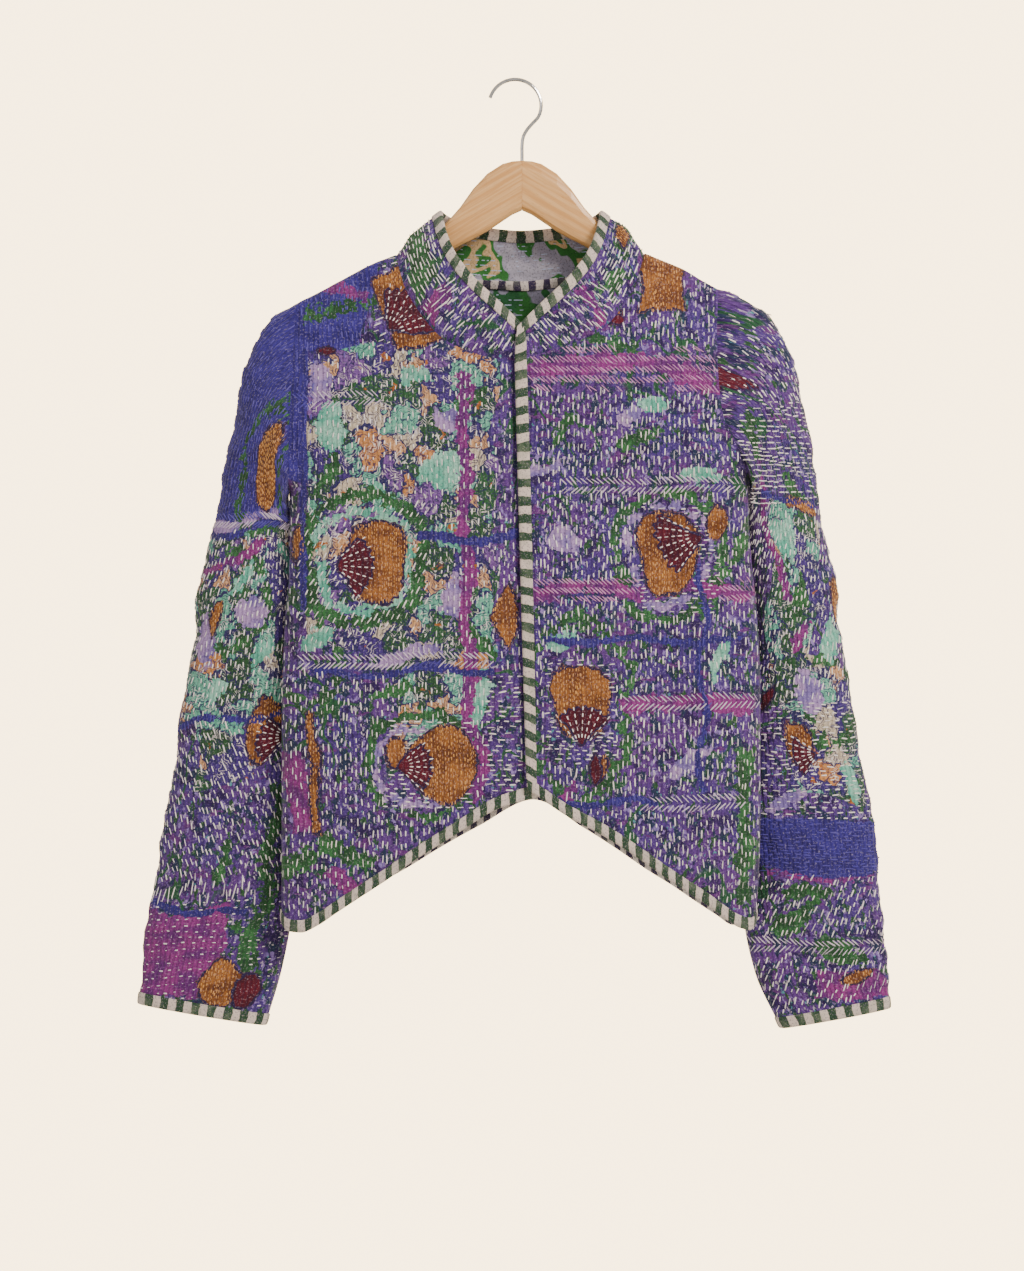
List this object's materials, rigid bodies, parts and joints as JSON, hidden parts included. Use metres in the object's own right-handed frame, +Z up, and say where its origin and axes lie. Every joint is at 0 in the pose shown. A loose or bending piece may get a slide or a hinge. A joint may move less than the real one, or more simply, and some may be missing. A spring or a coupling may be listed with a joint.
{
  "type": "kantha jacket on a wooden hanger",
  "caption": "Quilted cotton jacket with a stand collar, open front and bound edges, hung on a wooden hanger by its wire hook.",
  "frame": {"origin": "inside top of the hook's bend, where a peg or rail holds the hanger", "axes": "+Z up along the hook's shaft, +Y from the jacket's front to its back, +X to the viewer's right, which is the wearer's left"},
  "size_m": [0.6979, 0.1021, 0.8771],
  "materials": {
    "quilted_cotton": "soft, running-stitched, printed",
    "binding_cotton": "striped woven cotton tape",
    "hanger_wood": "clear varnished, satin",
    "hook_steel": "bright plated wire"
  },
  "bodies": {
    "root": {"front_right": "quilted_cotton", "front_left": "quilted_cotton", "back": "quilted_cotton", "sleeve_right": "quilted_cotton", "sleeve_left": "quilted_cotton", "collar": "quilted_cotton", "front_edge_binding_right": "binding_cotton", "front_edge_binding_left": "binding_cotton", "hem_binding_right": "binding_cotton", "hem_binding_left": "binding_cotton", "hem_binding_back": "binding_cotton", "cuff_binding_right": "binding_cotton", "cuff_binding_left": "binding_cotton", "collar_binding": "binding_cotton", "neck_tape": "binding_cotton", "hanger_arm_right": "hanger_wood", "hanger_arm_left": "hanger_wood", "hook": "hook_steel"}
  },
  "joints": []
}
